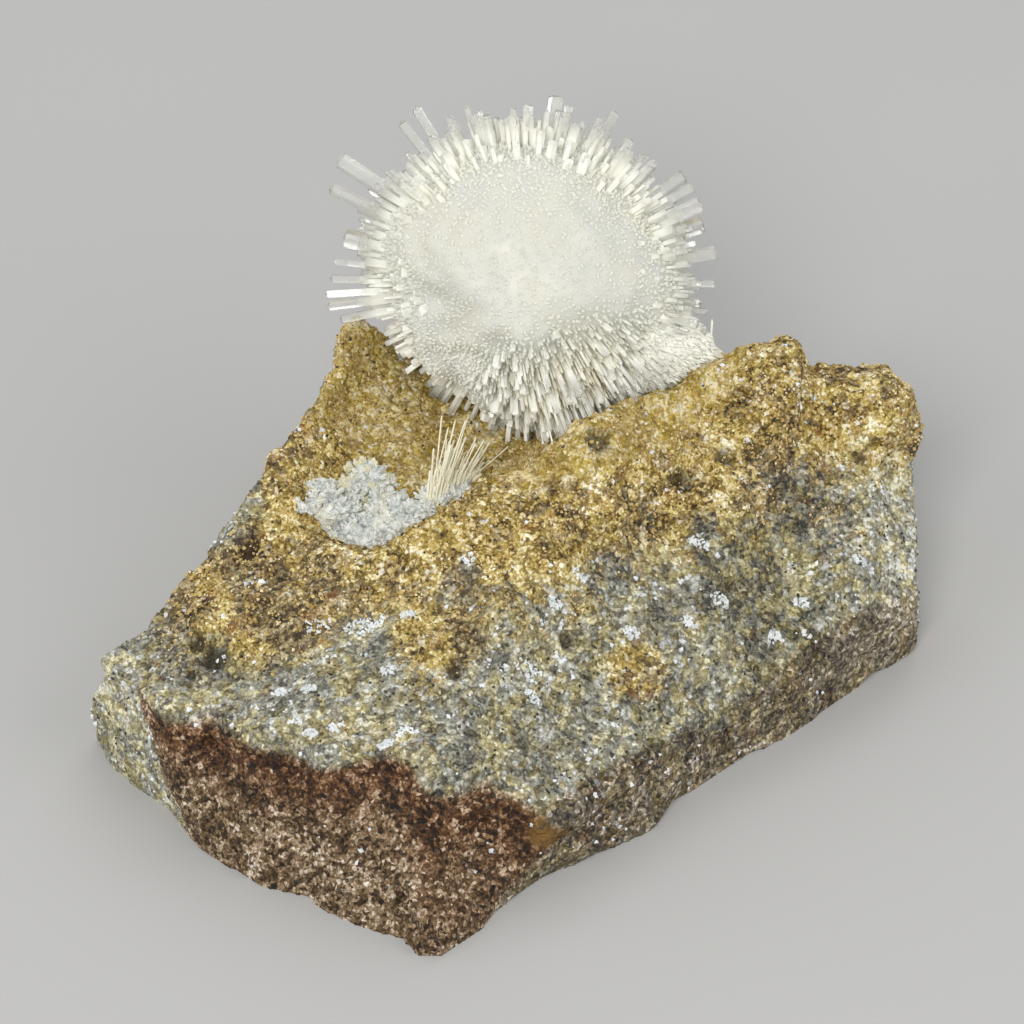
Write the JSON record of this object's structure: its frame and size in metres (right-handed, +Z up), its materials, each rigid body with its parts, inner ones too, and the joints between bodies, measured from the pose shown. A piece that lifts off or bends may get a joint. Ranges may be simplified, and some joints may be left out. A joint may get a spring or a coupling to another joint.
{
  "type": "natrolite specimen",
  "caption": "Ball of radiating glassy natrolite crystals in the vug of a rough basalt chunk, with a small druse and needle spray beside it.",
  "frame": {"origin": "middle of the specimen's box, on the surface that it rests on", "axes": "+Z up, +X to the right of the broad display face, -Y towards the viewer of that face"},
  "size_m": [0.0374, 0.0372, 0.0227],
  "materials": {
    "basalt": "rough broken stone, yellow-brown above and grey below",
    "natrolite": "vitreous, milky inside with clear tips",
    "milky_druse": "sugary, milky bluish white"
  },
  "bodies": {
    "root": {"basalt_matrix": "basalt", "natrolite_ball": "natrolite", "vug_druse": "milky_druse"}
  },
  "joints": []
}
